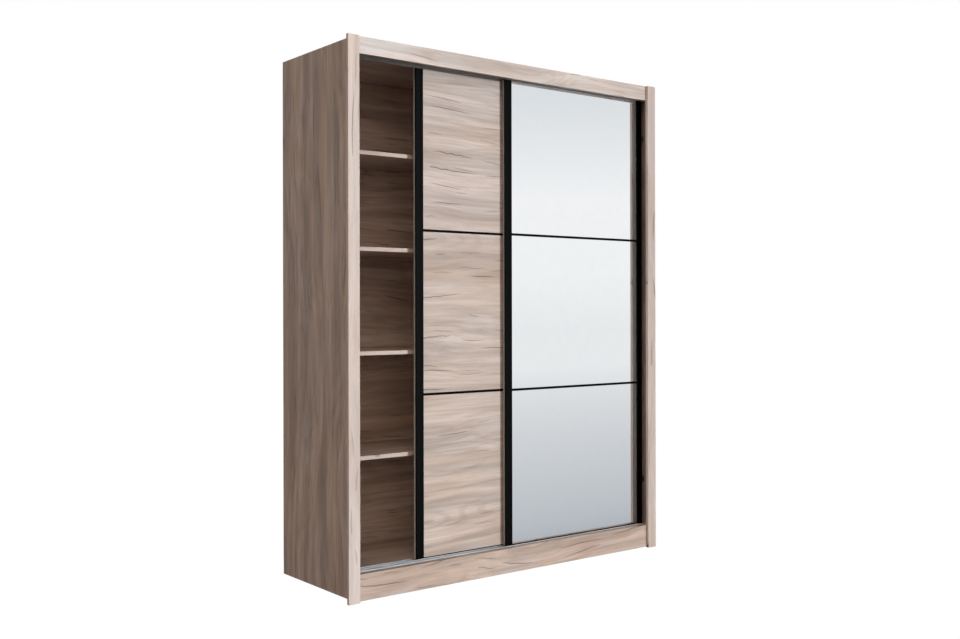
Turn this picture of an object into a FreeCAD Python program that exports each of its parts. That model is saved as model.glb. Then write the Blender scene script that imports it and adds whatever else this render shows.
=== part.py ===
import FreeCAD, Part
import os
import math

# Sliding door wardrobe. Millimetres, +X to the right, +Y to the back, +Z up.
# Origin: centre of the footprint, at floor level.

# ---------------------------------------------------------------- driving dimensions
W = 1500.0              # overall width
D = 600.0               # overall depth
H = 2150.0              # overall height
T = 16.0                # board thickness
BACK_T = 3.0            # back sheet thickness
FRONT = -D / 2 + T      # front edge of the side panels (the face boards stand in front of it)
BACK = D / 2 - BACK_T   # rear edge of the side panels
SIDE_Z0 = 22.0          # underside of the side panels, above the floor
SIDE_Z1 = 2133.0        # top of the side panels
FACE_W = 45.0           # face board width
LEG_X = 650.0           # side legs, from the middle
FASCIA_TOP_Z0 = 2085.0  # underside of the top fascia
FASCIA_BOT_Z0, FASCIA_BOT_Z1 = 3.0, 105.0
TOP_Z0 = 2094.0         # underside of the top panel
BOT_Z0 = 84.0           # underside of the bottom panel
SHELF_SETBACK = 131.0   # shelf front edge, behind the side panel's front edge
SHELF_TOPS = [535.7, 946.8, 1358.2, 1737.6]
HAT_SHELF_TOP = 1737.6
EDGE_R = 0.7            # rounding of the boards' edges

DOOR_W = 744.0
DOOR_Z0, DOOR_Z1 = 104.0, 2090.4
DOOR_PITCH = 31.0       # from the front track to the rear track
FRONT_DOOR_Y = 48.0     # door front plane, behind the side panel's front edge
REAR_DOOR_Y = FRONT_DOOR_Y + DOOR_PITCH
FRONT_DOOR_X0 = -24.0   # left edge at rest
REAR_DOOR_X0 = -421.0
STILE_W, STILE_D = 32.0, 20.0
LIP = 1.4               # wall in front of the infill
GROOVE_U = 20.0         # shadow groove on the stile's face, from its outer edge
INFILL_T = 10.0
DIVIDER_H = 10.2
PANEL_Z = [(110.0, 762.8), (773.0, 1425.8), (1436.0, 2088.8)]   # visible infill zones

WHEEL_R = 12.0          # running radius in the groove
WHEEL_FLANGE_R = 13.5
WHEEL_W = 7.0
WHEEL_BORE_R = 3.05
AXLE_R = 3.0
WHEEL_DEPTH = 18.0      # wheel plane, behind the door's front plane
WHEEL_INSET = 62.0      # axle, from the door's edge
TRACK_BASE = 1.6
BEAD_TOP = BOT_Z0 + T + 3.4     # 0.6 mm below the stiles
WHEEL_GAP = 0.3
WHEEL_Z = BEAD_TOP + WHEEL_GAP + WHEEL_R
STOP_X = 729.0          # a door's edge at the end of its travel

V = FreeCAD.Vector
os.makedirs("parts", exist_ok=True)
NODES = {}


def Y(y):
    """Depth measured from the side panels' front edge."""
    return FRONT + y


def box(x0, x1, y0, y1, z0, z1):
    return Part.makeBox(x1 - x0, y1 - y0, z1 - z0, V(x0, y0, z0))


def board(x0, x1, y0, y1, z0, z1, r=EDGE_R):
    b = box(x0, x1, y0, y1, z0, z1)
    return b.makeFillet(r, b.Edges)


def cyl(r, p, d, h):
    return Part.makeCylinder(r, h, V(*p), V(*d))


def cone(r1, r2, p, d, h):
    return Part.makeCone(r1, r2, h, V(*p), V(*d))


def prism(points, axis, length):
    """A closed polygon of 3-D points, extruded."""
    pts = [V(*p) for p in points]
    face = Part.Face(Part.makePolygon(pts + [pts[0]]))
    return face.extrude(V(*axis) * length)


def one(shape):
    s = shape.removeSplitter()
    return s.Solids[0] if len(s.Solids) == 1 else s


def put(name, shape):
    NODES[name] = shape


def group(name, solids):
    flat = []
    for s in solids:
        flat += s.Solids
    put(name, Part.makeCompound(flat))


# ---------------------------------------------------------------- carcass boards
xo, xi = W / 2, W / 2 - T                 # outer and inner face of a side panel
bot_top = BOT_Z0 + T
top_top = TOP_Z0 + T

side = {s: board(min(s * xo, s * xi), max(s * xo, s * xi), FRONT, BACK, SIDE_Z0, SIDE_Z1) for s in (-1, 1)}
face = {
    s: board(min(s * xo, s * (xo - FACE_W)), max(s * xo, s * (xo - FACE_W)), -D / 2, FRONT, 0, H)
    for s in (-1, 1)
}
top_fascia = board(-xi, xi, FRONT, Y(T), FASCIA_TOP_Z0, H)
bottom_fascia = board(-xi, xi, FRONT, Y(T), FASCIA_BOT_Z0, FASCIA_BOT_Z1)
top_panel = board(-xi, xi, Y(T), BACK, TOP_Z0, top_top)
bottom_panel = board(-xi, xi, Y(T), BACK, BOT_Z0, bot_top)
partition = board(-T / 2, T / 2, Y(SHELF_SETBACK), BACK, bot_top, TOP_Z0)
rear_plinth = board(-xi, xi, Y(500), Y(500 + T), SIDE_Z0, BOT_Z0)

shelf_x0, shelf_x1 = -xi + 0.5, -T / 2 - 0.5
shelves = [board(shelf_x0, shelf_x1, Y(SHELF_SETBACK), BACK - 0.5, z - T, z) for z in SHELF_TOPS]
hat_shelf = board(T / 2 + 0.5, xi - 0.5, Y(SHELF_SETBACK), BACK - 0.5, HAT_SHELF_TOP - T, HAT_SHELF_TOP)

back = {
    -1: board(-xo + 1, -0.5, BACK, D / 2, BOT_Z0 + 1, top_top - 1, 0.3),
    1: board(0.5, xo - 1, BACK, D / 2, BOT_Z0 + 1, top_top - 1, 0.3),
}

# ---------------------------------------------------------------- shelf pins: 5 mm pins in blind holes
pins = []
PIN_R, PIN_HOLE_R = 2.45, 2.5
for z in SHELF_TOPS:
    zc = z - T - PIN_R
    for y in (Y(SHELF_SETBACK + 37), Y(540)):
        side[-1] = side[-1].cut(cyl(PIN_HOLE_R, (-xi - 8, y, zc), (1, 0, 0), 8))
        pins.append(cyl(PIN_R, (-xi - 7.5, y, zc), (1, 0, 0), 16))
        partition = partition.cut(cyl(PIN_HOLE_R, (-T / 2, y, zc), (1, 0, 0), 7))
        pins.append(cyl(PIN_R, (-T / 2 - 8.5, y, zc), (1, 0, 0), 15))
zc = HAT_SHELF_TOP - T - PIN_R
for y in (Y(SHELF_SETBACK + 62), Y(515)):
    side[1] = side[1].cut(cyl(PIN_HOLE_R, (xi, y, zc), (1, 0, 0), 8))
    pins.append(cyl(PIN_R, (xi - 8.5, y, zc), (1, 0, 0), 16))
    partition = partition.cut(cyl(PIN_HOLE_R, (T / 2 - 7, y, zc), (1, 0, 0), 7))
    pins.append(cyl(PIN_R, (T / 2 - 6.5, y, zc), (1, 0, 0), 15))
group("shelf_pins", pins)

# ---------------------------------------------------------------- cam fasteners: a 15 mm cam and a 6 mm bolt each
cams = []
CAM_R, CAM_H, CAM_IN = 7.4, 12.5, 34.0
for s in (-1, 1):
    for y in (Y(70), Y(500)):
        # top panel: cams let in from above
        hole = cyl(CAM_R + 0.1, (s * (xi - CAM_IN), y, top_top - CAM_H - 0.2), (0, 0, 1), CAM_H + 1)
        bolt_z = TOP_Z0 + T / 2
        bore = cyl(3.1, (s * (xi - CAM_IN), y, bolt_z), (s, 0, 0), CAM_IN + 1)
        top_panel = top_panel.cut(hole).cut(bore)
        side[s] = side[s].cut(cyl(3.1, (s * xi, y, bolt_z), (s, 0, 0), 10))
        cams.append(cyl(CAM_R, (s * (xi - CAM_IN), y, top_top - CAM_H), (0, 0, 1), CAM_H).cut(
            box(*sorted((s * (xi - CAM_IN) - 5, s * (xi - CAM_IN) + 5)), y - 0.6, y + 0.6, top_top - 1.5, top_top + 1)))
        cams.append(cyl(3.0, (s * (xi - CAM_IN + CAM_R + 0.05), y, bolt_z), (s, 0, 0), CAM_IN - CAM_R + 9.5))
        # bottom panel: cams let in from below
        bolt_z = BOT_Z0 + T / 2
        hole = cyl(CAM_R + 0.1, (s * (xi - CAM_IN), y, BOT_Z0 - 1), (0, 0, 1), CAM_H + 1.2)
        bore = cyl(3.1, (s * (xi - CAM_IN), y, bolt_z), (s, 0, 0), CAM_IN + 1)
        bottom_panel = bottom_panel.cut(hole).cut(bore)
        side[s] = side[s].cut(cyl(3.1, (s * xi, y, bolt_z), (s, 0, 0), 10))
        cams.append(cyl(CAM_R, (s * (xi - CAM_IN), y, BOT_Z0), (0, 0, 1), CAM_H).cut(
            box(s * (xi - CAM_IN) - 5, s * (xi - CAM_IN) + 5, y - 0.6, y + 0.6, BOT_Z0 - 1, BOT_Z0 + 1.5)))
        cams.append(cyl(3.0, (s * (xi - CAM_IN + CAM_R + 0.05), y, bolt_z), (s, 0, 0), CAM_IN - CAM_R + 9.5))
# centre partition: cams let in from its right face, bolts up and down
for y in (Y(190), Y(500)):
    for z, d, panel in ((TOP_Z0, 1, "top"), (bot_top, -1, "bottom")):
        zc = z - d * CAM_IN
        partition = partition.cut(cyl(CAM_R + 0.1, (T / 2 - CAM_H - 0.2, y, zc), (1, 0, 0), CAM_H + 1))
        partition = partition.cut(cyl(3.1, (0, y, zc), (0, 0, d), CAM_IN + 1))
        cams.append(cyl(CAM_R, (T / 2 - CAM_H, y, zc), (1, 0, 0), CAM_H).cut(
            box(T / 2 - 1.5, T / 2 + 1, y - 5, y + 5, zc - 0.6, zc + 0.6)))
        cams.append(cyl(3.0, (0, y, zc + d * (CAM_R + 0.05)), (0, 0, d), CAM_IN - CAM_R + 9.5))
        cut = cyl(3.1, (0, y, z), (0, 0, d), 10)
        if panel == "top":
            top_panel = top_panel.cut(cut)
        else:
            bottom_panel = bottom_panel.cut(cut)
group("cam_fasteners", cams)

# ---------------------------------------------------------------- dowels between the face boards and the side edges
dowels = []
for s in (-1, 1):
    for z in (150.0, 600.0, 1075.0, 1550.0, 2000.0):
        p = (s * (xo - T / 2), FRONT - 11, z)
        face[s] = face[s].cut(cyl(4.05, p, (0, 1, 0), 12))
        side[s] = side[s].cut(cyl(4.05, (p[0], FRONT - 1, z), (0, 1, 0), 20))
        dowels.append(cyl(4.0, (p[0], FRONT - 10.5, z), (0, 1, 0), 29))
group("face_board_dowels", dowels)

# ---------------------------------------------------------------- back sheet nails, heads let in flush
nails = []
NAIL_R, HEAD_R, HEAD_T = 0.9, 2.6, 1.0


def nail(x, z):
    nails.append(cyl(HEAD_R, (x, D / 2 - HEAD_T, z), (0, 1, 0), HEAD_T).fuse(
        cyl(NAIL_R, (x, BACK - 18, z), (0, 1, 0), 18 + BACK_T - HEAD_T)))
    hole = cyl(HEAD_R + 0.05, (x, D / 2 - HEAD_T, z), (0, 1, 0), HEAD_T + 1).fuse(
        cyl(NAIL_R + 0.05, (x, BACK - 19, z), (0, 1, 0), 19 + BACK_T))
    return hole


side_holes = {-1: [], 1: []}
back_holes = {-1: [], 1: []}
part_holes, top_holes, bottom_holes = [], [], []
for s in (-1, 1):
    for z in (180.0, 560.0, 950.0, 1340.0, 1720.0, 2060.0):
        h = nail(s * (xo - T / 2), z)
        side_holes[s].append(h)
        back_holes[s].append(h)
        h = nail(s * 4.4, z + s * 12)
        part_holes.append(h)
        back_holes[s].append(h)
    for x in (190.0, 370.0, 560.0):
        h = nail(s * x, TOP_Z0 + 8)
        top_holes.append(h)
        back_holes[s].append(h)
        h = nail(s * x, BOT_Z0 + 8)
        bottom_holes.append(h)
        back_holes[s].append(h)
for s in (-1, 1):
    side[s] = side[s].cut(side_holes[s])
    back[s] = back[s].cut(back_holes[s])
partition = partition.cut(part_holes)
top_panel = top_panel.cut(top_holes)
bottom_panel = bottom_panel.cut(bottom_holes)
group("back_panel_nails", nails)

# ---------------------------------------------------------------- feet
def leg(x, y):
    foot = cyl(16, (x, Y(y), 0), (0, 0, 1), 10)
    foot = foot.makeFillet(1.5, [e for e in foot.Edges if abs(e.BoundBox.ZMin - e.BoundBox.ZMax) < 1e-6])
    stem = cyl(5, (x, Y(y), 9), (0, 0, 1), 60)
    plate = box(x - 25, x + 25, Y(y) - 25, Y(y) + 25, BOT_Z0 - 2, BOT_Z0)
    sleeve = cyl(13, (x, Y(y), 40), (0, 0, 1), BOT_Z0 - 41)
    return one(foot.fuse([stem, sleeve, plate]))


group("side_legs", [leg(s * LEG_X, y) for s in (-1, 1) for y in (100.0, 440.0)])
group("centre_legs", [leg(0.0, y) for y in (165.0, 440.0)])

# ---------------------------------------------------------------- brackets that hold both fascias
brackets = []


def angle(x, y, z, dy, dz, w=20.0, leg=30.0, t=2.0):
    """An L bracket with one leg along dy and one along dz, its corner at (y, z)."""
    y0, y1 = sorted((y, y + dy * leg))
    z0, z1 = sorted((z, z + dz * t))
    a = box(x - w / 2, x + w / 2, y0, y1, z0, z1)
    y0, y1 = sorted((y, y + dy * t))
    z0, z1 = sorted((z, z + dz * leg))
    b = box(x - w / 2, x + w / 2, y0, y1, z0, z1)
    return one(a.fuse(b))


for x in (-520.0, -170.0, 170.0, 520.0):
    brackets.append(angle(x, Y(T), top_top, 1, 1))
    brackets.append(angle(x, Y(T), BOT_Z0, 1, -1))
    brackets.append(angle(x, Y(500), BOT_Z0, -1, -1))
group("fascia_brackets", brackets)

# ---------------------------------------------------------------- anti-tip wall brackets on the top panel
WALL_BRACKET_X = 560.0
WALL_HOLE_Z = top_top + 15.0
WALL_HOLE_R = 2.75
wall = []
for s in (-1, 1):
    x = s * WALL_BRACKET_X
    b = box(x - 15, x + 15, D / 2 - 40, D / 2, top_top, top_top + 2)
    b = b.fuse(box(x - 15, x + 15, D / 2 - 2, D / 2, top_top, top_top + 27))
    b = b.cut(cyl(WALL_HOLE_R, (x, D / 2 - 5, WALL_HOLE_Z), (0, 1, 0), 10))
    wall.append(one(b))
group("wall_brackets", wall)

# ---------------------------------------------------------------- hanging rail, oval tube 30 x 15, and its sockets
RAIL_Y, RAIL_Z = Y(335), 1672.0


def oval(x, half_h, half_w):
    """A flat-sided oval in a YZ plane: straight sides, half-round top and bottom."""
    r, k = half_w, half_h - half_w
    y, z = RAIL_Y, RAIL_Z
    e = [
        Part.LineSegment(V(x, y - r, z - k), V(x, y - r, z + k)).toShape(),
        Part.Arc(V(x, y - r, z + k), V(x, y, z + k + r), V(x, y + r, z + k)).toShape(),
        Part.LineSegment(V(x, y + r, z + k), V(x, y + r, z - k)).toShape(),
        Part.Arc(V(x, y + r, z - k), V(x, y, z - k - r), V(x, y - r, z - k)).toShape(),
    ]
    return Part.Face(Part.Wire(e))


rail_x0, rail_x1 = T / 2 + 3.2, xi - 3.2
rail = oval(rail_x0, 15.0, 7.5).extrude(V(rail_x1 - rail_x0, 0, 0))
rail = rail.cut(oval(rail_x0 - 1, 13.8, 6.3).extrude(V(rail_x1 - rail_x0 + 2, 0, 0)))
put("hanging_rail", rail)
sockets = []
for x, d in ((T / 2, 1), (xi, -1)):
    body = oval(x, 19.0, 11.0).extrude(V(d * 16, 0, 0))
    body = body.cut(oval(x + d * 3, 15.15, 7.65).extrude(V(d * 20, 0, 0)))
    sockets.append(one(body))
group("rail_sockets", sockets)

# ---------------------------------------------------------------- tracks
tx0, tx1 = -xi + 0.5, xi - 0.5
fy, ry = FRONT_DOOR_Y + WHEEL_DEPTH, REAR_DOOR_Y + WHEEL_DEPTH
b0, b1, b2 = bot_top, bot_top + TRACK_BASE, bot_top + 6.5
MID = (FRONT_DOOR_Y + REAR_DOOR_Y + 26.0) / 2


def bead(y):
    return [(y + 1.5, b1), (y + 1.5, BEAD_TOP - 0.9), (y + 0.6, BEAD_TOP), (y - 0.6, BEAD_TOP),
            (y - 1.5, BEAD_TOP - 0.9), (y - 1.5, b1)]


lower = [(42, b0), (122, b0), (122, b1), (108.6, b1), (108.6, b2), (107, b2), (107, b1)]
lower += bead(ry)
lower += [(77.3, b1), (77.3, b2), (75.7, b2), (75.7, b1)]
lower += bead(fy)
lower += [(43.6, b1), (43.6, b2), (42, b2)]
lower_track = prism([(tx0, Y(y), z) for y, z in lower], (1, 0, 0), tx1 - tx0)

u0, u1 = TOP_Z0, TOP_Z0 - TRACK_BASE
upper = [(42, u0), (122, u0), (122, u1), (108.6, u1), (108.6, 2088.5), (107, 2088.5), (107, u1),
         (77.3, u1), (77.3, 2082), (75.7, 2082), (75.7, u1), (43.6, u1), (43.6, 2086), (42, 2086)]
upper_track = prism([(tx0, Y(y), z) for y, z in upper], (1, 0, 0), tx1 - tx0)

track_screws = []
for x in (-640.0, -320.0, 0.0, 320.0, 640.0):
    y = Y(115)
    lower_track = lower_track.cut(cone(2.0, 3.7, (x, y, b0), (0, 0, 1), TRACK_BASE + 0.001))
    bottom_panel = bottom_panel.cut(cyl(1.75, (x, y, b0 - 13), (0, 0, 1), 14))
    track_screws.append(cone(1.7, 3.4, (x, y, b0), (0, 0, 1), TRACK_BASE - 0.1).fuse(
        cyl(1.7, (x, y, b0 - 12), (0, 0, 1), 12.2)))
    upper_track = upper_track.cut(cone(2.0, 3.7, (x, y, u0), (0, 0, -1), TRACK_BASE + 0.001))
    top_panel = top_panel.cut(cyl(1.75, (x, y, u0 - 1), (0, 0, 1), 14))
    track_screws.append(cone(1.7, 3.4, (x, y, u0), (0, 0, -1), TRACK_BASE - 0.1).fuse(
        cyl(1.7, (x, y, u0 - 0.2), (0, 0, 1), 12.2)))
group("track_screws", [one(s) for s in track_screws])
put("lower_track", one(lower_track))
put("upper_track", one(upper_track))

# ---------------------------------------------------------------- door buffers on the side panels
buffers = []
for s in (-1, 1):
    for d in (FRONT_DOOR_Y, REAR_DOOR_Y):
        for z in (300.0, 1900.0):
            x0, x1 = sorted((s * (STOP_X + 0.2), s * xi))
            buffers.append(board(x0, x1, Y(d + 2), Y(d + 9), z, z + 24, 0.6))
group("door_buffers", buffers)

put("side_panel_left", side[-1])
put("side_panel_right", side[1])
put("face_board_left", face[-1])
put("face_board_right", face[1])
put("top_fascia", top_fascia)
put("bottom_fascia", bottom_fascia)
put("top_panel", top_panel)
put("bottom_panel", bottom_panel)
put("centre_partition", partition)
put("rear_plinth", rear_plinth)
for i, s in enumerate(shelves, 1):
    put(f"shelf_{i}", s)
put("hat_shelf", hat_shelf)
put("back_panel_left", back[-1])
put("back_panel_right", back[1])


# ---------------------------------------------------------------- a sliding door
SCREW_W = 14.3          # frame screws, behind the door's front plane
SCREW_ZS = (139.2, 2083.4)


def door(prefix, x0, y0, mirrored):
    x1 = x0 + DOOR_W
    ix0, ix1 = x0 + STILE_W, x1 - STILE_W          # between the stiles
    # stile section: u inwards from the door's edge, w backwards from its front plane
    sec = [(0, 0), (GROOVE_U - 1, 0), (GROOVE_U - 0.4, 1.0), (GROOVE_U + 0.4, 1.0), (GROOVE_U + 1, 0), (STILE_W, 0), (STILE_W, LIP), (24, LIP),
           (24, 11.7), (STILE_W, 11.7), (STILE_W, STILE_D), (22, STILE_D), (22, 13.5), (8, 13.5), (8, STILE_D),
           (0, STILE_D), (0, 17.8), (1.6, 17.8), (1.6, 10.2), (0, 10.2)]
    screws = []
    for edge, d, label in ((x0, 1, "left"), (x1, -1, "right")):
        s = prism([(edge + d * u, Y(y0 + w), DOOR_Z0) for u, w in sec], (0, 0, 1), DOOR_Z1 - DOOR_Z0)
        round_at = [(0, 0), (STILE_W, 0), (0, STILE_D)]
        edges = []
        for e in s.Edges:
            bb = e.BoundBox
            if bb.ZLength > 1000:
                for u, w in round_at:
                    if abs(bb.XMin - (edge + d * u)) < 0.01 and abs(bb.YMin - Y(y0 + w)) < 0.01:
                        edges.append(e)
        s = s.makeFillet(0.9, edges)
        for z in SCREW_ZS:
            y = Y(y0 + SCREW_W)
            s = s.cut(cyl(2.6, (edge - d, y, z), (d, 0, 0), STILE_W + 2))
            s = s.cut(cyl(3.4, (edge - d, y, z), (d, 0, 0), 5.4))
            k = cyl(3.3, (edge + d * 1.7, y, z), (d, 0, 0), 2.6)
            k = k.cut(box(*sorted((edge - d, edge + d * 3.0)), y - 2.2, y + 2.2, z - 0.5, z + 0.5))
            k = k.cut(box(*sorted((edge - d, edge + d * 3.0)), y - 0.5, y + 0.5, z - 2.2, z + 2.2))
            k = k.fuse(cyl(2.3, (edge + d * 4.2, y, z), (d, 0, 0), 53))
            screws.append(one(k))
        put(f"{prefix}_stile_{label}", one(s))
    group(f"{prefix}_screws", screws)

    # bottom rail: infill channel in front, wheel chamber behind, screw port at its top
    rail = [(0, DOOR_Z0), (13.2, DOOR_Z0), (13.2, 134), (19, 134), (19, 144.4), (23.2, 144.4), (23.2, 112),
            (24.6, 112), (24.6, 146), (11.7, 146), (11.7, DOOR_Z0 + 1.4), (LIP, DOOR_Z0 + 1.4), (LIP, PANEL_Z[0][0]),
            (0, PANEL_Z[0][0])]
    r = prism([(ix0 + 0.1, Y(y0 + w), z) for w, z in rail], (1, 0, 0), ix1 - ix0 - 0.2)
    # top rail: cap over the infill, leg behind it, screw port
    zt = PANEL_Z[2][1]
    cap = [(0, zt), (11.7, zt), (11.7, 2060), (13.2, 2060), (13.2, 2078), (19, 2078), (19, zt), (STILE_D, zt),
           (STILE_D, DOOR_Z1), (0, DOOR_Z1)]
    c = prism([(ix0 + 0.1, Y(y0 + w), z) for w, z in cap], (1, 0, 0), ix1 - ix0 - 0.2)
    y = Y(y0 + SCREW_W)
    for x, d in ((ix0, 1), (ix1, -1)):
        r = r.cut(cyl(2.35, (x - d, y, SCREW_ZS[0]), (d, 0, 0), 32))
        c = c.cut(cyl(2.35, (x - d, y, SCREW_ZS[1]), (d, 0, 0), 32))

    # dividers: H sections between the infills
    hs = []
    for (a, z0), (z1, b) in ((PANEL_Z[0], PANEL_Z[1]), (PANEL_Z[1], PANEL_Z[2])):
        zm = (z0 + z1) / 2
        h = [(0, z0), (LIP, z0), (LIP, zm - 0.8), (11.7, zm - 0.8), (11.7, z0), (13.2, z0), (13.2, z1), (11.7, z1),
             (11.7, zm + 0.8), (LIP, zm + 0.8), (LIP, z1), (0, z1)]
        hs.append(prism([(ix0 + 0.1, Y(y0 + w), z) for w, z in h], (1, 0, 0), ix1 - ix0 - 0.2))
    group(f"{prefix}_dividers", hs)

    # infills: held in the stiles' slots, the dividers and the rails
    px0, px1 = x0 + 24.6, x1 - 24.6
    names = ("lower", "middle", "upper")
    edges_z = []
    for i, (a, b) in enumerate(PANEL_Z):
        lo = DOOR_Z0 + 1.6 if i == 0 else (PANEL_Z[i - 1][1] + a) / 2 + 0.95
        hi = b - 0.1 if i == 2 else (b + PANEL_Z[i + 1][0]) / 2 - 0.95
        edges_z.append((lo, hi))
    f = y0 + LIP + 0.1
    if mirrored:
        backing = []
        for n, (lo, hi) in zip(names, edges_z):
            put(f"{prefix}_{n}_mirror", board(px0, px1, Y(f), Y(f + 4), lo, hi, 0.4))
            backing.append(box(px0, px1, Y(f + 4), Y(f + INFILL_T), lo, hi))
        group(f"{prefix}_backing", backing)
    else:
        for n, (lo, hi) in zip(names, edges_z):
            put(f"{prefix}_{n}_panel", board(px0, px1, Y(f), Y(f + INFILL_T), lo, hi, 0.4))

    # brush strips in the stiles' outer grooves
    strips = []
    for edge, d in ((x0, 1), (x1, -1)):
        xs = sorted((edge + d * 1.5, edge + d * 0.3))
        base = box(xs[0], xs[1], Y(y0 + 10.4), Y(y0 + 17.6), DOOR_Z0 + 4, DOOR_Z1 - 4)
        xs = sorted((edge + d * 0.35, edge - d * 3.6))
        pile = box(xs[0], xs[1], Y(y0 + 11.0), Y(y0 + 17.0), DOOR_Z0 + 4, DOOR_Z1 - 4)
        strips.append(one(base.fuse(pile)))
    group(f"{prefix}_brushes", strips)

    # top guides: plates on the top rail with a nose behind, running between the upper track's lips
    front_lip, rear_lip = (43.6, 75.7) if mirrored else (77.3, 107.0)
    guides = []
    for x in (ix0 + 30, ix1 - 30):
        g = box(x - 22, x + 22, Y(front_lip + 0.6), Y(rear_lip - 0.6), DOOR_Z1, DOOR_Z1 + 1.6)
        g = g.fuse(box(x - 22, x + 22, Y(y0 + STILE_D + 0.1), Y(rear_lip - 0.6), 2083, DOOR_Z1 + 1.6))
        guides.append(one(g))
    group(f"{prefix}_top_guides", guides)

    # wheel brackets with their axles, inside the bottom rail's chamber
    hold = []
    for label, x in (("left", x0 + WHEEL_INSET), ("right", x1 - WHEEL_INSET)):
        ya, yb = y0 + 13.3, y0 + 14.3
        yc, yd = y0 + 21.8, y0 + 22.8
        k = box(x - 24, x + 24, Y(ya), Y(yb), 112, 133.6)
        k = k.fuse(box(x - 24, x + 24, Y(yc), Y(yd), 112, 134.0))
        k = k.fuse(box(x - 24, x + 24, Y(ya), Y(yd), 132.2, 134.0))
        k = k.fuse(cyl(AXLE_R, (x, Y(ya), WHEEL_Z), (0, 1, 0), yd - ya))
        hold.append(one(k))
        # grooved wheel
        hw = WHEEL_W / 2
        prof = [(WHEEL_BORE_R, -hw), (WHEEL_FLANGE_R - 0.4, -hw), (WHEEL_FLANGE_R, -hw + 0.4), (WHEEL_FLANGE_R, -2.9),
                (WHEEL_R, -1.9), (WHEEL_R, 1.9), (WHEEL_FLANGE_R, 2.9), (WHEEL_FLANGE_R, hw - 0.4),
                (WHEEL_FLANGE_R - 0.4, hw), (WHEEL_BORE_R, hw)]
        yw = Y(y0 + WHEEL_DEPTH)
        pts = [V(x + a, yw + b, WHEEL_Z) for a, b in prof]
        wf = Part.Face(Part.makePolygon(pts + [pts[0]]))
        wh = wf.revolve(V(x, yw, WHEEL_Z), V(0, 1, 0), 360)
        # ring recess on both faces
        for b, d in ((-hw, 1), (hw, -1)):
            ring = cyl(9.6, (x, yw + b - d * 0.01, WHEEL_Z), (0, d, 0), 1.2).cut(
                cyl(5.4, (x, yw + b - d * 0.02, WHEEL_Z), (0, d, 0), 2))
            wh = wh.cut(ring)
        put(f"{prefix.replace('_door', '')}_wheel_{label}", wh.Solids[0])
    group(f"{prefix}_wheel_brackets", hold)
    put(f"{prefix}_bottom_rail", one(r))
    put(f"{prefix}_top_rail", one(c))


door("front_door", FRONT_DOOR_X0, FRONT_DOOR_Y, True)
door("rear_door", REAR_DOOR_X0, REAR_DOOR_Y, False)

# ---------------------------------------------------------------- export
total = None
for name, shape in sorted(NODES.items()):
    assert shape.isValid(), name
    assert all(s.Volume > 0 for s in shape.Solids), name
    shape.exportStep(os.path.join("parts", name + ".step"))
    bb = shape.BoundBox
    if total is None:
        total = FreeCAD.BoundBox(bb)
    else:
        total.add(bb)
print(len(NODES), "nodes", [round(v, 2) for v in (total.XMin, total.XMax, total.YMin, total.YMax, total.ZMin, total.ZMax)])
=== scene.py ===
import bpy, bmesh, math, random
from mathutils import Vector, Matrix


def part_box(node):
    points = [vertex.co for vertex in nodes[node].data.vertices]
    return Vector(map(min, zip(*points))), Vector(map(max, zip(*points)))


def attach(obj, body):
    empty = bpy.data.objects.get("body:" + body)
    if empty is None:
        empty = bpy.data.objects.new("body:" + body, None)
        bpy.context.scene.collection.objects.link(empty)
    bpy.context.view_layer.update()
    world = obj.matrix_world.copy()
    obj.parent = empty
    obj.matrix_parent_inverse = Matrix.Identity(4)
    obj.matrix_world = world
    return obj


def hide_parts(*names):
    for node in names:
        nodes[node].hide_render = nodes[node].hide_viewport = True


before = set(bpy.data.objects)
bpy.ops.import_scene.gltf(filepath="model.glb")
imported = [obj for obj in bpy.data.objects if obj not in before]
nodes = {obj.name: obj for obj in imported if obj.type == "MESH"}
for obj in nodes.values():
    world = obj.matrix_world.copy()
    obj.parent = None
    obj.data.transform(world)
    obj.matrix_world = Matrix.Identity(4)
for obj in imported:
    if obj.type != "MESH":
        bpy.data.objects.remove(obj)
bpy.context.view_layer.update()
scene = bpy.context.scene
mm = 0.001


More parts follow.
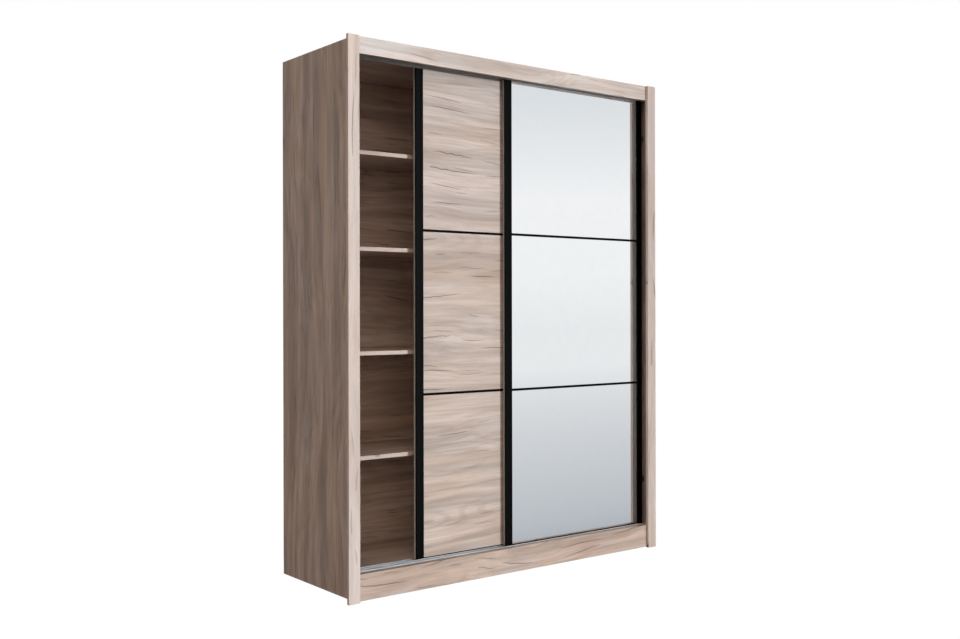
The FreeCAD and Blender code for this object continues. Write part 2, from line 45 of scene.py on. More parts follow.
# ------------------------------------------------------------------ node helpers
class Tree:
    """Small helper that builds a material's node tree."""

    def __init__(self, name):
        self.mat = bpy.data.materials.new(name)
        self.mat.use_nodes = True
        self.nt = self.mat.node_tree
        self.nt.nodes.clear()
        self.out = self.nt.nodes.new("ShaderNodeOutputMaterial")
        self.bsdf = self.nt.nodes.new("ShaderNodeBsdfPrincipled")
        self.nt.links.new(self.bsdf.outputs[0], self.out.inputs[0])
        tc = self.nt.nodes.new("ShaderNodeTexCoord")
        self.pos = tc.outputs["Object"]

    def link(self, a, b):
        self.nt.links.new(a, b)

    def put(self, sock, v):
        if isinstance(v, bpy.types.NodeSocket):
            self.link(v, sock)
        else:
            sock.default_value = v

    def math(self, op, a, b=None, c=None, clamp=False):
        n = self.nt.nodes.new("ShaderNodeMath")
        n.operation = op
        n.use_clamp = clamp
        self.put(n.inputs[0], a)
        if b is not None:
            self.put(n.inputs[1], b)
        if c is not None:
            self.put(n.inputs[2], c)
        return n.outputs[0]

    def vec(self, op, a, b=None, scale=None):
        n = self.nt.nodes.new("ShaderNodeVectorMath")
        n.operation = op
        self.put(n.inputs[0], a)
        if b is not None:
            self.put(n.inputs[1], b)
        if scale is not None:
            self.put(n.inputs["Scale"], scale)
        return n.outputs[1] if op in ("LENGTH", "DOT_PRODUCT") else n.outputs[0]

    def sep(self, v):
        n = self.nt.nodes.new("ShaderNodeSeparateXYZ")
        self.put(n.inputs[0], v)
        return n.outputs

    def comb(self, x, y, z):
        n = self.nt.nodes.new("ShaderNodeCombineXYZ")
        for s, v in zip(n.inputs, (x, y, z)):
            self.put(s, v)
        return n.outputs[0]

    def noise(self, vec, scale=1.0, detail=2.0, rough=0.5, dist=0.0):
        n = self.nt.nodes.new("ShaderNodeTexNoise")
        self.put(n.inputs["Vector"], vec)
        n.inputs["Scale"].default_value = scale
        n.inputs["Detail"].default_value = detail
        n.inputs["Roughness"].default_value = rough
        n.inputs["Distortion"].default_value = dist
        return n.outputs[0]

    def voronoi(self, vec, scale=1.0, feature="F1", rand=1.0):
        n = self.nt.nodes.new("ShaderNodeTexVoronoi")
        n.feature = feature
        self.put(n.inputs["Vector"], vec)
        n.inputs["Scale"].default_value = scale
        n.inputs["Randomness"].default_value = rand
        return n.outputs

    def remap(self, v, a, b, c=0.0, d=1.0, smooth=False):
        n = self.nt.nodes.new("ShaderNodeMapRange")
        n.interpolation_type = "SMOOTHSTEP" if smooth else "LINEAR"
        self.put(n.inputs[0], v)
        for i, x in enumerate((a, b, c, d)):
            n.inputs[i + 1].default_value = x
        return n.outputs[0]

    def ramp(self, v, stops):
        n = self.nt.nodes.new("ShaderNodeValToRGB")
        self.put(n.inputs[0], v)
        e = n.color_ramp.elements
        e[0].position, e[0].color = stops[0][0], (*stops[0][1], 1)
        e[1].position, e[1].color = stops[-1][0], (*stops[-1][1], 1)
        for p, c in stops[1:-1]:
            k = e.new(p)
            k.color = (*c, 1)
        return n.outputs[0]

    def mix(self, f, a, b, mode="MIX"):
        n = self.nt.nodes.new("ShaderNodeMix")
        n.data_type = "RGBA"
        n.blend_type = mode
        self.put(n.inputs[0], f)
        for s, v in ((n.inputs[6], a), (n.inputs[7], b)):
            self.put(s, (*v, 1) if isinstance(v, tuple) and len(v) == 3 else v)
        return n.outputs[2]

    def bump(self, height, strength, distance):
        n = self.nt.nodes.new("ShaderNodeBump")
        n.inputs["Strength"].default_value = strength
        n.inputs["Distance"].default_value = distance
        self.put(n.inputs["Height"], height)
        self.link(n.outputs[0], self.bsdf.inputs["Normal"])

    def set(self, **kw):
        for k, v in kw.items():
            self.put(self.bsdf.inputs[k.replace("_", " ")], v)


# ------------------------------------------------------------------ oak decor
def oak(name, along, seed=0.0, tone=1.0, crack=1.0, warm=0.0, contrast=1.0, flat=False):
    """Rustic light oak decor: broad tonal bands, wavy figure, fine pores, dark checks and small knots.
    along is the grain's axis, X, Y or Z; flat is True for a board that lies across the other crosswise axis."""
    t = Tree(name)
    x, y, z = t.sep(t.pos)
    if along == "X":
        a, b, c = x, z, y
    elif along == "Z":
        a, b, c = z, x, y
    else:
        a, b, c = y, x, z
    a = t.math("ADD", a, seed * 3.17 + 11.0)
    b = t.math("ADD", b, seed * 1.93 + 5.0)
    c = t.math("ADD", c, seed * 0.71 + 2.0)

    def P(sa, sb, sc=None, aa=a, bb=b, cc=c):
        sc = sb if sc is None else sc
        return t.comb(t.math("MULTIPLY", aa, sa), t.math("MULTIPLY", bb, sb), t.math("MULTIPLY", cc, sc))

    # slow wander of the grain across the board
    w1 = t.math("SUBTRACT", t.noise(P(1.5, 3.2), 1, 1, 0.5), 0.5)
    w2 = t.math("SUBTRACT", t.noise(P(6.0, 11.0), 1, 1, 0.5), 0.5)
    wob = t.math("ADD", t.math("MULTIPLY", w1, 0.13), t.math("MULTIPLY", w2, 0.014))
    bw = t.math("ADD", b, wob)
    cw = t.math("ADD", c, wob)
    slow = t.math("ADD", t.math("MULTIPLY", w1, 0.12), t.math("MULTIPLY", w2, 0.004))
    bs = t.math("ADD", b, slow)
    cs = t.math("ADD", c, slow)

    broad = t.noise(P(0.9, 5.5, None, a, bw, cw), 1, 3, 0.55)
    col = t.ramp(broad, [
        (0.28, (0.425, 0.325, 0.265)),
        (0.42, (0.540, 0.437, 0.375)),
        (0.52, (0.600, 0.505, 0.450)),
        (0.62, (0.560, 0.475, 0.435)),
        (0.75, (0.640, 0.555, 0.515)),
    ])
    # cool grey patches next to pinkish ones
    patch = t.remap(t.noise(P(2.2, 7.0, None, a, bw, cw), 1, 2, 0.5), 0.42, 0.66, 0, 1, True)
    col = t.mix(t.math("MULTIPLY", patch, 0.55), col, (0.575, 0.520, 0.495))
    # figure: contour lines of a slow field
    field = t.noise(P(1.1, 6.5, None, a, bw, cw), 1, 1.5, 0.45)
    fig = t.math("SINE", t.math("MULTIPLY", field, 95.0))
    fig = t.remap(fig, -0.2, 1.0, 0.0, 1.0, True)
    figm = t.remap(t.noise(P(2.0, 9.0), 1, 1, 0.5), 0.40, 0.62, 0.0, 1.0, True)
    fig = t.math("MULTIPLY", fig, figm)
    col = t.mix(t.math("MULTIPLY", fig, 0.27 * contrast), col, (0.395, 0.300, 0.245))
    # streaks and pores
    streak = t.noise(P(3.0, 95.0, None, a, bw, cw), 1, 4, 0.6)
    col = t.mix(t.remap(streak, 0.40, 0.72, 0.0, min(0.9, 0.50 * contrast)), col, (0.400, 0.310, 0.260))
    light = t.remap(t.noise(P(2.4, 48.0, None, a, bw, cw), 1, 3, 0.6), 0.55, 0.80, 0.0, 0.40)
    col = t.mix(light, col, (0.70, 0.625, 0.590))
    pore = t.noise(P(22.0, 620.0, None, a, bw, cw), 1, 2, 0.6)
    porem = t.remap(pore, 0.60, 0.74, 0.0, 0.34)
    col = t.mix(porem, col, (0.300, 0.225, 0.185))
    # drying checks: thin dark slits with pointed ends, close to the grain's direction
    wv = cs if flat else bs
    jag = t.math("MULTIPLY", t.math("SUBTRACT", t.noise(P(38.0, 16.0), 1, 2, 0.55), 0.5), 0.0075)

    def slits(sa, sw, chance, half, width, shift):
        u = t.math("MULTIPLY", t.math("ADD", a, shift), sa)
        v = t.math("MULTIPLY", t.math("ADD", wv, shift), sw)
        n = t.nt.nodes.new("ShaderNodeTexVoronoi")
        n.voronoi_dimensions = "2D"
        t.put(n.inputs["Vector"], t.comb(u, v, 0.0))
        n.inputs["Scale"].default_value = 1.0
        p = t.sep(n.outputs["Position"])
        r = t.sep(n.outputs["Color"])
        du = t.math("DIVIDE", t.math("SUBTRACT", u, p[0]), sa)
        dv = t.math("DIVIDE", t.math("SUBTRACT", v, p[1]), sw)
        slope = t.math("MULTIPLY", t.math("SUBTRACT", r[1], 0.5), 0.22)
        off = t.math("ABSOLUTE", t.math("ADD", t.math("SUBTRACT", dv, t.math("MULTIPLY", du, slope)), jag))
        reach = t.math("ADD", half * 0.45, t.math("MULTIPLY", r[2], half * 0.75))
        e = t.math("DIVIDE", du, reach)
        w = t.math("MULTIPLY", t.math("SUBTRACT", 1.0, t.math("MULTIPLY", e, e), clamp=True), width)
        on = t.math("LESS_THAN", r[0], chance)
        body = t.math("SUBTRACT", 1.0, t.math("DIVIDE", off, t.math("ADD", w, 0.00001)), clamp=True)
        near = t.math("SUBTRACT", 1.0, t.math("DIVIDE", off, t.math("ADD", t.math("MULTIPLY", w, 5.5), 0.0001)), clamp=True)
        return t.math("MULTIPLY", t.math("POWER", body, 0.7), on), t.math("MULTIPLY", near, on)

    chk1, near1 = slits(3.3, 17.0, 0.30, 0.125, 0.0024, 0.0)
    chk2, near2 = slits(7.0, 36.0, 0.16, 0.060, 0.0013, 3.3)
    chk = t.math("MAXIMUM", chk1, t.math("MULTIPLY", chk2, 0.85))
    # browner bands along the grain
    band = t.remap(t.noise(P(0.8, 17.0, None, a, bs, cs), 1, 2, 0.5), 0.54, 0.70, 0.0, 0.34 * contrast, True)
    col = t.mix(band, col, (0.430, 0.325, 0.262))
    # knots: a dark eye with a soft halo in a few cells
    vo = t.voronoi(P(3.0, 5.2, 5.2, a, bw, cw), 1.0)
    pick = t.remap(t.sep(vo["Color"])[0], 0.70, 0.74, 0.0, 1.0)
    eye = t.math("MULTIPLY", t.remap(vo["Distance"], 0.035, 0.075, 1.0, 0.0, True), pick)
    halo = t.math("MULTIPLY", t.remap(vo["Distance"], 0.04, 0.26, 1.0, 0.0, True), pick)
    rings = t.math("MULTIPLY", halo, t.remap(t.math("SINE", t.math("MULTIPLY", vo["Distance"], 150.0)), -1, 1, 0.35, 1.0))
    col = t.mix(t.math("MULTIPLY", rings, 0.34), col, (0.330, 0.240, 0.190))
    col = t.mix(t.math("MULTIPLY", eye, 0.72), col, (0.115, 0.085, 0.070))
    # a brown stain runs beside each check
    col = t.mix(t.math("MULTIPLY", t.math("MAXIMUM", near1, near2), 0.24 * crack), col, (0.360, 0.265, 0.210))
    col = t.mix(t.math("MULTIPLY", chk, 0.86 * crack), col, (0.075, 0.058, 0.050))
    # slow light and dark streaks
    k = 0.15 * contrast
    tint = t.remap(t.noise(P(0.8, 19.0, None, a, bs, cs), 1, 3, 0.6), 0.34, 0.66, 1.0 - k, 1.0 + 0.75 * k, True)
    col = t.vec("SCALE", col, scale=tint)
    if tone != 1.0 or warm:
        col = t.mix(1.0, col, (tone, tone * (1 - 0.10 * warm), tone * (1 - 0.18 * warm)), "MULTIPLY")
    t.set(Base_Color=col)
    t.set(Roughness=t.remap(t.math("ADD", t.math("MULTIPLY", streak, 0.6), t.math("MULTIPLY", pore, 0.4)), 0.3, 0.7, 0.46, 0.60))
    t.bsdf.inputs["Specular IOR Level"].default_value = 0.34
    h = t.math("SUBTRACT", t.math("MULTIPLY", streak, 0.35), t.math("ADD", t.math("MULTIPLY", porem, 1.2), t.math("MULTIPLY", chk, 1.6)))
    t.bump(h, 0.35, 0.00035)
    return t.mat


def satin_black(name, along="Z", base=0.0009, rough=0.36):
    """Black anodised profile: faint drawing lines along its length and a faint blotchy tone."""
    t = Tree(name)
    x, y, z = t.sep(t.pos)
    s = {"X": (6, 900, 900), "Z": (900, 900, 6)}[along]
    v = t.comb(t.math("MULTIPLY", x, s[0]), t.math("MULTIPLY", y, s[1]), t.math("MULTIPLY", z, s[2]))
    n = t.noise(v, 1, 3, 0.6)
    dust = t.noise(t.pos, 9.0, 3, 0.55)
    col = t.ramp(t.math("ADD", t.math("MULTIPLY", n, 0.6), t.math("MULTIPLY", dust, 0.4)),
                 [(0.3, (base * 0.7, base * 0.7, base * 0.8)), (0.7, (base * 1.6, base * 1.6, base * 1.75))])
    t.set(Base_Color=col, Roughness=t.remap(n, 0.3, 0.7, rough - 0.05, rough + 0.10))
    t.bsdf.inputs["Specular IOR Level"].default_value = 0.035
    t.bsdf.inputs["Metallic"].default_value = 0.0
    t.bump(n, 0.10, 0.0001)
    return t.mat


def metal(name, base, rough, along="X", metallic=1.0, strength=0.12, var=0.12):
    """Drawn or rolled metal: fine lines along one axis, small tonal changes, light scuffs."""
    t = Tree(name)
    x, y, z = t.sep(t.pos)
    s = {"X": (5, 700, 700), "Y": (700, 5, 700), "Z": (700, 700, 5), "O": (160, 160, 160)}[along]
    v = t.comb(t.math("MULTIPLY", x, s[0]), t.math("MULTIPLY", y, s[1]), t.math("MULTIPLY", z, s[2]))
    n = t.noise(v, 1, 3, 0.6)
    big = t.noise(t.pos, 14.0, 3, 0.5)
    f = t.math("ADD", t.math("MULTIPLY", n, 0.55), t.math("MULTIPLY", big, 0.45))
    lo = tuple(c * (1 - var) for c in base)
    hi = tuple(min(1, c * (1 + var)) for c in base)
    t.set(Base_Color=t.ramp(f, [(0.3, lo), (0.7, hi)]), Roughness=t.remap(f, 0.3, 0.7, rough - 0.06, rough + 0.08))
    t.bsdf.inputs["Metallic"].default_value = metallic
    t.bump(n, strength, 0.00012)
    return t.mat


def plastic(name, base, rough, grain=900.0, strength=0.18, var=0.10, spec=0.45):
    """Moulded plastic: fine spark-eroded grain and slight cloudiness."""
    t = Tree(name)
    g = t.noise(t.pos, grain, 2, 0.5)
    c = t.noise(t.pos, 30.0, 3, 0.5)
    lo = tuple(k * (1 - var) for k in base)
    hi = tuple(min(1, k * (1 + var)) for k in base)
    t.set(Base_Color=t.ramp(c, [(0.3, lo), (0.7, hi)]), Roughness=t.remap(g, 0.3, 0.7, rough - 0.06, rough + 0.08))
    t.bsdf.inputs["Specular IOR Level"].default_value = spec
    t.bump(g, strength, 0.0001)
    return t.mat


def mirror_glass(name):
    """Silvered glass: a bright even reflector, with the faintest haze and waviness of float glass."""
    t = Tree(name)
    n = t.noise(t.pos, 2.3, 2, 0.5)
    haze = t.noise(t.pos, 28.0, 4, 0.6)
    t.set(Base_Color=t.ramp(haze, [(0.2, (0.930, 0.945, 0.950)), (0.8, (0.955, 0.965, 0.970))]),
          Roughness=t.remap(haze, 0.35, 0.75, 0.012, 0.045))
    t.bsdf.inputs["Metallic"].default_value = 1.0
    t.bump(n, 0.02, 0.0006)
    return t.mat


def fibreboard(name):
    t = Tree(name)
    f1 = t.noise(t.pos, 420.0, 4, 0.65)
    f2 = t.noise(t.pos, 60.0, 3, 0.6)
    f = t.math("ADD", t.math("MULTIPLY", f1, 0.65), t.math("MULTIPLY", f2, 0.35))
    t.set(Base_Color=t.ramp(f, [(0.3, (0.185, 0.120, 0.072)), (0.5, (0.285, 0.195, 0.125)), (0.72, (0.400, 0.295, 0.200))]),
          Roughness=t.remap(f, 0.3, 0.7, 0.72, 0.88))
    t.bump(f1, 0.3, 0.0003)
    return t.mat


# ------------------------------------------------------------------ materials on the CAD nodes
def paint(node, mat):
    o = nodes[node]
    o.data.materials.clear()
    o.data.materials.append(mat)


boards = {
    # node: (grain axis, seed, tone, warm, contrast)
    # side panels: tone 0.86 and warm 0.25 paint shade into their colour, darker and browner than the front boards
    "side_panel_left": ("Z", 1.3, 0.86, 0.25, 1.7),
    "side_panel_right": ("Z", 4.1, 0.86, 0.25, 1.7),
    "face_board_left": ("Z", 2.2, 1.12, -0.1, 0.55),
    "face_board_right": ("Z", 6.4, 1.02, 0.1, 0.7),
    "top_fascia": ("X", 3.7, 1.15, -0.55, 1.0),
    "bottom_fascia": ("X", 8.2, 1.00, 0.35, 1.3),
    "top_panel": ("X", 5.5, 0.98, 0.3, 1.0),
    "bottom_panel": ("X", 7.9, 1.05, 0.3, 1.0),
    "centre_partition": ("Z", 9.3, 1.05, 0.3, 1.0),
    "rear_plinth": ("X", 10.6, 0.95, 0.3, 1.0),
    "shelf_1": ("X", 11.1, 1.02, 0.3, 1.0),
    "shelf_2": ("X", 12.7, 1.02, 0.3, 1.0),
    "shelf_3": ("X", 13.4, 1.02, 0.3, 1.0),
    "shelf_4": ("X", 14.9, 1.02, 0.3, 1.0),
    "hat_shelf": ("X", 15.2, 1.02, 0.3, 1.0),
    # back panels: tone 1.22 is painted light, paler to brighten the shaded interior
    "back_panel_left": ("X", 16.8, 1.22, 0.3, 1.4),
    "back_panel_right": ("X", 17.3, 1.22, 0.3, 1.4),
    "rear_door_lower_panel": ("X", 18.6, 0.98, 0.1, 1.25),
    "rear_door_middle_panel": ("X", 19.7, 1.00, 0.0, 1.1),
    "rear_door_upper_panel": ("X", 21.2, 1.00, 0.0, 1.1),
}
for n, (ax, seed, tone, warm, contrast) in boards.items():
    lies = n.startswith(("side_", "centre_", "shelf_", "hat_", "top_panel", "bottom_panel"))
    m = oak("oak_" + n, ax, seed, tone, 1.0, warm, contrast, lies)
    paint(n, m)

black_z = satin_black("black_profile_upright", "Z")
black_x = satin_black("black_profile_across", "X")
for p in ("front_door", "rear_door"):
    for s in ("left", "right"):
        paint(f"{p}_stile_{s}", black_z)
    for s in ("top_rail", "bottom_rail", "dividers"):
        paint(f"{p}_{s}", black_x)
    paint(f"{p}_top_guides", plastic("guide_nylon_" + p, (0.018, 0.018, 0.019), 0.42))
    paint(f"{p}_brushes", plastic("pile_" + p, (0.17, 0.168, 0.16), 0.9, 2500, 0.6, 0.3, 0.1))
mg = mirror_glass("mirror_silvered")
for s in ("lower", "middle", "upper"):
    paint(f"front_door_{s}_mirror", mg)
paint("front_door_backing", fibreboard("mirror_backing_board"))
silver = metal("track_anodised", (0.58, 0.59, 0.605), 0.32, "X", 0.80)
grey = metal("track_painted_grey", (0.40, 0.41, 0.42), 0.42, "X", 0.35)
paint("lower_track", silver)
paint("upper_track", grey)
zinc = metal("zinc_plate", (0.60, 0.61, 0.63), 0.34, "O")
for n in ("cam_fasteners", "back_panel_nails", "track_screws", "fascia_brackets", "wall_brackets", "shelf_pins",
          "front_door_wheel_brackets", "rear_door_wheel_brackets"):
    paint(n, zinc)
dark_screw = metal("screw_black_zinc", (0.05, 0.05, 0.055), 0.36, "O")
for n in ("front_door_screws", "rear_door_screws"):
    paint(n, dark_screw)
chrome = metal("rail_chrome", (0.78, 0.78, 0.79), 0.13, "X", 1.0, 0.03, 0.04)
paint("hanging_rail", chrome)
paint("rail_sockets", metal("socket_cast_zinc", (0.62, 0.62, 0.63), 0.30, "O"))
paint("side_legs", plastic("side_leg_black", (0.022, 0.022, 0.023), 0.5))
paint("centre_legs", plastic("leg_black", (0.022, 0.022, 0.023), 0.5))
paint("door_buffers", plastic("buffer_rubber", (0.035, 0.035, 0.036), 0.75, 1400, 0.3))
paint("face_board_dowels", fibreboard("dowel_beech"))
wheel_mat = plastic("wheel_acetal", (0.70, 0.70, 0.67), 0.30, 600, 0.08, 0.05)
for n in ("front_wheel_left", "front_wheel_right", "rear_wheel_left", "rear_wheel_right"):
    paint(n, wheel_mat)


# ------------------------------------------------------------------ eased edges on CAD nodes
def ease(node, width, angle=35, segments=2):
    o = nodes[node]
    m = o.modifiers.new("eased", "BEVEL")
    m.width = width
    m.segments = segments
    m.limit_method = "ANGLE"
    m.angle_limit = math.radians(angle)
    m.harden_normals = False
    m.use_clamp_overlap = True


for p in ("front_door", "rear_door"):
    for s in ("stile_left", "stile_right", "dividers", "top_rail", "bottom_rail"):
        ease(f"{p}_{s}", 0.35 * mm)
for n in ("lower_track", "upper_track"):
    ease(n, 0.3 * mm)


# ------------------------------------------------------------------ mesh helpers for new pieces
def mesh_object(name, verts, faces, mat, body, smooth=False):
    me = bpy.data.meshes.new(name)
    me.from_pydata(verts, [], faces)
    me.update()
    o = bpy.data.objects.new(name, me)
    scene.collection.objects.link(o)
    me.materials.append(mat)
    if smooth:
        for p in me.polygons:
            p.use_smooth = True
    if body:
        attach(o, body)
    return o


# brush strips: a woven base and a row of fine tufts on each door edge
def brushes(prefix, body):
    lo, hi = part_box(f"{prefix}_brushes")
    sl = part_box(f"{prefix}_stile_left")
    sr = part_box(f"{prefix}_stile_right")
    y0 = sl[0].y
    rnd = random.Random(7 if prefix.startswith("front") else 11)
    verts, faces = [], []

    def prism4(p, q, r0, r1):
        """A tapered four-sided tuft from p to q."""
        k = len(verts)
        for c, r in ((p, r0), (q, r1)):
            for dy, dz in ((-r, -r), (r, -r), (r, r), (-r, r)):
                verts.append((c[0], c[1] + dy, c[2] + dz))
        f = [(0, 1, 2, 3), (7, 6, 5, 4), (0, 4, 5, 1), (1, 5, 6, 2), (2, 6, 7, 3), (3, 7, 4, 0)]
        for q4 in f:
            faces.append(tuple(k + i for i in q4))

    for edge, d in ((sl[0].x, 1), (sr[1].x, -1)):
        # base tape
        k = len(verts)
        xs = (edge + d * 1.5 * mm, edge + d * 0.5 * mm)
        for z in (lo.z, hi.z):
            for x, y in ((xs[0], 10.4), (xs[0], 17.6), (xs[1], 17.2), (xs[1], 10.8)):
                verts.append((x, y0 + y * mm, z))
        for q4 in ((0, 1, 2, 3), (7, 6, 5, 4), (0, 4, 5, 1), (1, 5, 6, 2), (2, 6, 7, 3), (3, 7, 4, 0)):
            faces.append(tuple(k + i for i in q4))
        z = lo.z + 1 * mm
        while z < hi.z - 1 * mm:
            for row in (12.0, 14.0, 16.0):
                yy = y0 + (row + rnd.uniform(-0.3, 0.3)) * mm
                zz = z + rnd.uniform(-0.4, 0.4) * mm
                L = (3.3 + rnd.uniform(-0.35, 0.2)) * mm
                p = (edge + d * 0.6 * mm, yy, zz)
                q = (edge - d * L, yy + rnd.uniform(-0.5, 0.5) * mm, zz + rnd.uniform(-0.5, 0.5) * mm)
                prism4(p, q, 0.62 * mm, 0.30 * mm)
            z += 2.1 * mm
    t = Tree("pile_fibres_" + prefix)
    n = t.noise(t.pos, 700, 2, 0.6)
    t.set(Base_Color=t.ramp(n, [(0.3, (0.40, 0.39, 0.37)), (0.7, (0.62, 0.60, 0.57))]),
          Roughness=t.remap(n, 0.3, 0.7, 0.7, 0.95))
    t.bsdf.inputs["Sheen Weight"].default_value = 0.3
    o = mesh_object(prefix + "_brush_pile", verts, faces, t.mat, body)
    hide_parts(f"{prefix}_brushes")


brushes("front_door", "front_door")
brushes("rear_door", "rear_door")


# wheel bearings: shield ring and inner race on both faces of each wheel
def lathe(prof, centre, seg=48):
    """prof: (radius, offset along Y) points, closed. Turned about the Y axis."""
    verts, faces = [], []
    n = len(prof)
    for i in range(seg):
        a = 2 * math.pi * i / seg
        for r, w in prof:
            verts.append((centre[0] + r * math.cos(a), centre[1] + w, centre[2] + r * math.sin(a)))
    for i in range(seg):
        j = (i + 1) % seg
        for k in range(n):
            l = (k + 1) % n
            faces.append((i * n + k, j * n + k, j * n + l, i * n + l))
    return verts, faces


bearing = metal("bearing_steel", (0.50, 0.51, 0.53), 0.22, "O", 1.0, 0.05, 0.06)
for p in ("front", "rear"):
    for s in ("left", "right"):
        lo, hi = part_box(f"{p}_wheel_{s}")
        c = (lo + hi) / 2
        hw = (hi.y - lo.y) / 2
        verts, faces = [], []
        for sgn in (-1, 1):
            w0, w1 = sgn * (hw - 1.1 * mm), sgn * (hw - 0.35 * mm)
            prof = [(5.6 * mm, w0), (5.6 * mm, w1 - sgn * 0.2 * mm), (5.9 * mm, w1), (9.0 * mm, w1 - sgn * 0.25 * mm),
                    (9.4 * mm, w1 - sgn * 0.5 * mm), (9.4 * mm, w0)]
            v, f = lathe(prof, c)
            k = len(verts)
            verts += v
            if sgn > 0:
                f = [tuple(reversed(q)) for q in f]
            faces += [tuple(k + i for i in q) for q in f]
        o = mesh_object(f"{p}_wheel_{s}_shields", verts, faces, bearing, f"{p}_wheel_{s}", True)


# ------------------------------------------------------------------ stage, light and camera
def stage_floor():
    me = bpy.data.meshes.new("studio_floor")
    s = 40.0
    me.from_pydata([(-s, -s, -0.0004), (s, -s, -0.0004), (s, s, -0.0004), (-s, s, -0.0004)], [], [(0, 1, 2, 3)])
    o = bpy.data.objects.new("studio_floor", me)
    scene.collection.objects.link(o)
    m = bpy.data.materials.new("studio_floor")
    m.use_nodes = True
    nt = m.node_tree
    nt.nodes.clear()
    out = nt.nodes.new("ShaderNodeOutputMaterial")
    dif = nt.nodes.new("ShaderNodeBsdfDiffuse")
    dif.inputs[0].default_value = (0.40, 0.37, 0.34, 1)
    em = nt.nodes.new("ShaderNodeEmission")
    em.inputs[0].default_value = (1, 1, 1, 1)
    em.inputs[1].default_value = 1.13
    add = nt.nodes.new("ShaderNodeMixShader")
    nt.links.new(dif.outputs[0], add.inputs[1])
    nt.links.new(em.outputs[0], add.inputs[2])
    # painted reflection: for mirror rays the floor glows, darker near the doors, paler further off
    geo = nt.nodes.new("ShaderNodeNewGeometry")
    sx = nt.nodes.new("ShaderNodeSeparateXYZ")
    nt.links.new(geo.outputs["Position"], sx.inputs[0])
    mr = nt.nodes.new("ShaderNodeMapRange")
    mr.inputs[1].default_value = -0.7
    mr.inputs[2].default_value = -14.0
    nt.links.new(sx.outputs[1], mr.inputs[0])
    pw = nt.nodes.new("ShaderNodeMath")
    pw.operation = "POWER"
    nt.links.new(mr.outputs[0], pw.inputs[0])
    pw.inputs[1].default_value = 0.45
    rp = nt.nodes.new("ShaderNodeValToRGB")
    rp.color_ramp.elements[0].color = (0.42, 0.45, 0.49, 1)
    rp.color_ramp.elements[1].color = (0.845, 0.855, 0.865, 1)
    nt.links.new(pw.outputs[0], rp.inputs[0])
    em2 = nt.nodes.new("ShaderNodeEmission")
    nt.links.new(rp.outputs[0], em2.inputs[0])
    lp = nt.nodes.new("ShaderNodeLightPath")
    share = nt.nodes.new("ShaderNodeMath")
    share.operation = "MULTIPLY"
    nt.links.new(lp.outputs["Is Camera Ray"], share.inputs[0])
    share.inputs[1].default_value = 0.88
    nt.links.new(share.outputs[0], add.inputs[0])
    mx = nt.nodes.new("ShaderNodeMixShader")
    nt.links.new(lp.outputs["Is Glossy Ray"], mx.inputs[0])
    nt.links.new(add.outputs[0], mx.inputs[1])
    nt.links.new(em2.outputs[0], mx.inputs[2])
    nt.links.new(mx.outputs[0], out.inputs[0])
    me.materials.append(m)
    return o


stage_floor()

world = bpy.data.worlds.new("studio")
scene.world = world
world.use_nodes = True
nt = world.node_tree
nt.nodes.clear()
wout = nt.nodes.new("ShaderNodeOutputWorld")
bg_cam = nt.nodes.new("ShaderNodeBackground")
bg_cam.inputs[0].default_value = (1, 1, 1, 1)
bg_cam.inputs[1].default_value = 1.0
bg_fill = nt.nodes.new("ShaderNodeBackground")
bg_fill.inputs[1].default_value = 2.0
bg_gloss = nt.nodes.new("ShaderNodeBackground")
tc = nt.nodes.new("ShaderNodeTexCoord")
sep = nt.nodes.new("ShaderNodeSeparateXYZ")
nt.links.new(tc.outputs["Generated"], sep.inputs[0])
side = nt.nodes.new("ShaderNodeMapRange")
side.inputs[1].default_value = -1.0
side.inputs[2].default_value = 0.3
nt.links.new(sep.outputs[0], side.inputs[0])
fill_ramp = nt.nodes.new("ShaderNodeValToRGB")
fr = fill_ramp.color_ramp.elements
fr[0].position, fr[0].color = 0.0, (0.11, 0.085, 0.068, 1)
fr[1].position, fr[1].color = 1.0, (0.12, 0.11, 0.10, 1)
for pos, c in ((0.20, (0.12, 0.093, 0.075, 1)), (0.36, (0.92, 0.74, 0.61, 1)), (0.62, (0.92, 0.76, 0.645, 1)), (0.75, (0.14, 0.128, 0.116, 1))):
    k = fr.new(pos)
    k.color = c
nt.links.new(side.outputs[0], fill_ramp.inputs[0])
behind = nt.nodes.new("ShaderNodeMapRange")
behind.interpolation_type = "SMOOTHSTEP"
behind.inputs[1].default_value = -0.35
behind.inputs[2].default_value = 0.05
nt.links.new(sep.outputs[1], behind.inputs[0])
fill_mix = nt.nodes.new("ShaderNodeMix")
fill_mix.data_type = "RGBA"
nt.links.new(behind.outputs[0], fill_mix.inputs[0])
nt.links.new(fill_ramp.outputs[0], fill_mix.inputs[6])
fill_mix.inputs[7].default_value = (0.11, 0.086, 0.070, 1)
nt.links.new(fill_mix.outputs[2], bg_fill.inputs[0])
el = nt.nodes.new("ShaderNodeMapRange")
el.inputs[1].default_value = -0.02
el.inputs[2].default_value = 0.30
nt.links.new(sep.outputs[2], el.inputs[0])
ramp = nt.nodes.new("ShaderNodeValToRGB")
e = ramp.color_ramp.elements
e[0].position, e[0].color = 0.0, (0.84, 0.85, 0.86, 1)
e[1].position, e[1].color = 1.0, (0.70, 0.73, 0.76, 1)
for pos, c in ((0.16, (0.91, 0.92, 0.93, 1)), (0.36, (0.92, 0.925, 0.935, 1)), (0.62, (0.745, 0.77, 0.795, 1))):
    k = e.new(pos)
    k.color = c
nt.links.new(el.outputs[0], ramp.inputs[0])
nt.links.new(ramp.outputs[0], bg_gloss.inputs[0])
lp = nt.nodes.new("ShaderNodeLightPath")
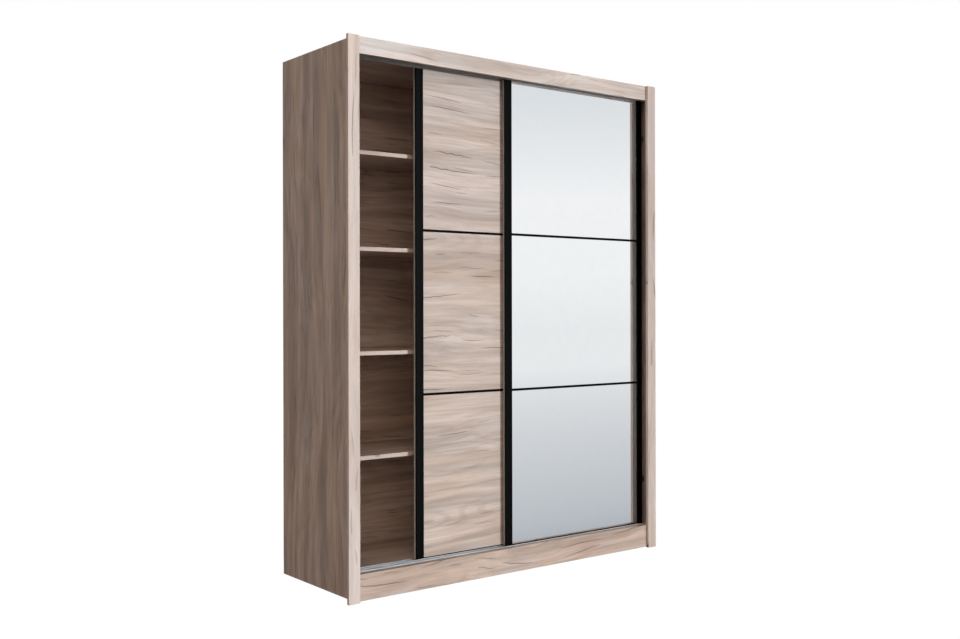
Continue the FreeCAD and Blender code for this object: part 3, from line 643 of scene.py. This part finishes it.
m1 = nt.nodes.new("ShaderNodeMixShader")
m2 = nt.nodes.new("ShaderNodeMixShader")
nt.links.new(lp.outputs["Is Glossy Ray"], m1.inputs[0])
nt.links.new(bg_fill.outputs[0], m1.inputs[1])
nt.links.new(bg_gloss.outputs[0], m1.inputs[2])
nt.links.new(lp.outputs["Is Camera Ray"], m2.inputs[0])
nt.links.new(m1.outputs[0], m2.inputs[1])
nt.links.new(bg_cam.outputs[0], m2.inputs[2])
nt.links.new(m2.outputs[0], wout.inputs[0])


def sun(name, direction, strength, angle, colour):
    l = bpy.data.lights.new(name, "SUN")
    l.energy = strength
    l.angle = math.radians(angle)
    l.color = colour
    o = bpy.data.objects.new(name, l)
    scene.collection.objects.link(o)
    o.rotation_euler = Vector(direction).to_track_quat("-Z", "Y").to_euler()
    return o


# key from the front, a little to the right and almost level
az, elev = math.radians(12), math.radians(2.5)
sun("key", (-math.sin(az) * math.cos(elev), math.cos(az) * math.cos(elev), -math.sin(elev)), 2.12, 2.0, (0.87, 0.945, 1.0))

cam_data = bpy.data.cameras.new("camera")
cam = bpy.data.objects.new("camera", cam_data)
scene.collection.objects.link(cam)
yaw, roll = 0.7776, -0.002
fwd = Vector((math.sin(yaw), math.cos(yaw), 0))
right = Vector((math.cos(yaw), -math.sin(yaw), 0))
up = Vector((0, 0, 1))
rt2 = (right + up * roll).normalized()
up2 = fwd.cross(rt2) * -1
up2 = rt2.cross(fwd).normalized()
cam.matrix_world = Matrix((
    (rt2.x, up2.x, -fwd.x, -2.66946),
    (rt2.y, up2.y, -fwd.y, -4.37057),
    (rt2.z, up2.z, -fwd.z, 1.11084),
    (0, 0, 0, 1)))
cam_data.sensor_width = 36.0
cam_data.lens = 42.4375
cam_data.shift_x = -0.2760
cam_data.shift_y = -0.0110
cam_data.clip_start = 0.05
cam_data.clip_end = 200
scene.camera = cam

scene.view_settings.view_transform = "Standard"
scene.view_settings.look = "None"
scene.view_settings.exposure = 0.0
scene.view_settings.gamma = 1.0
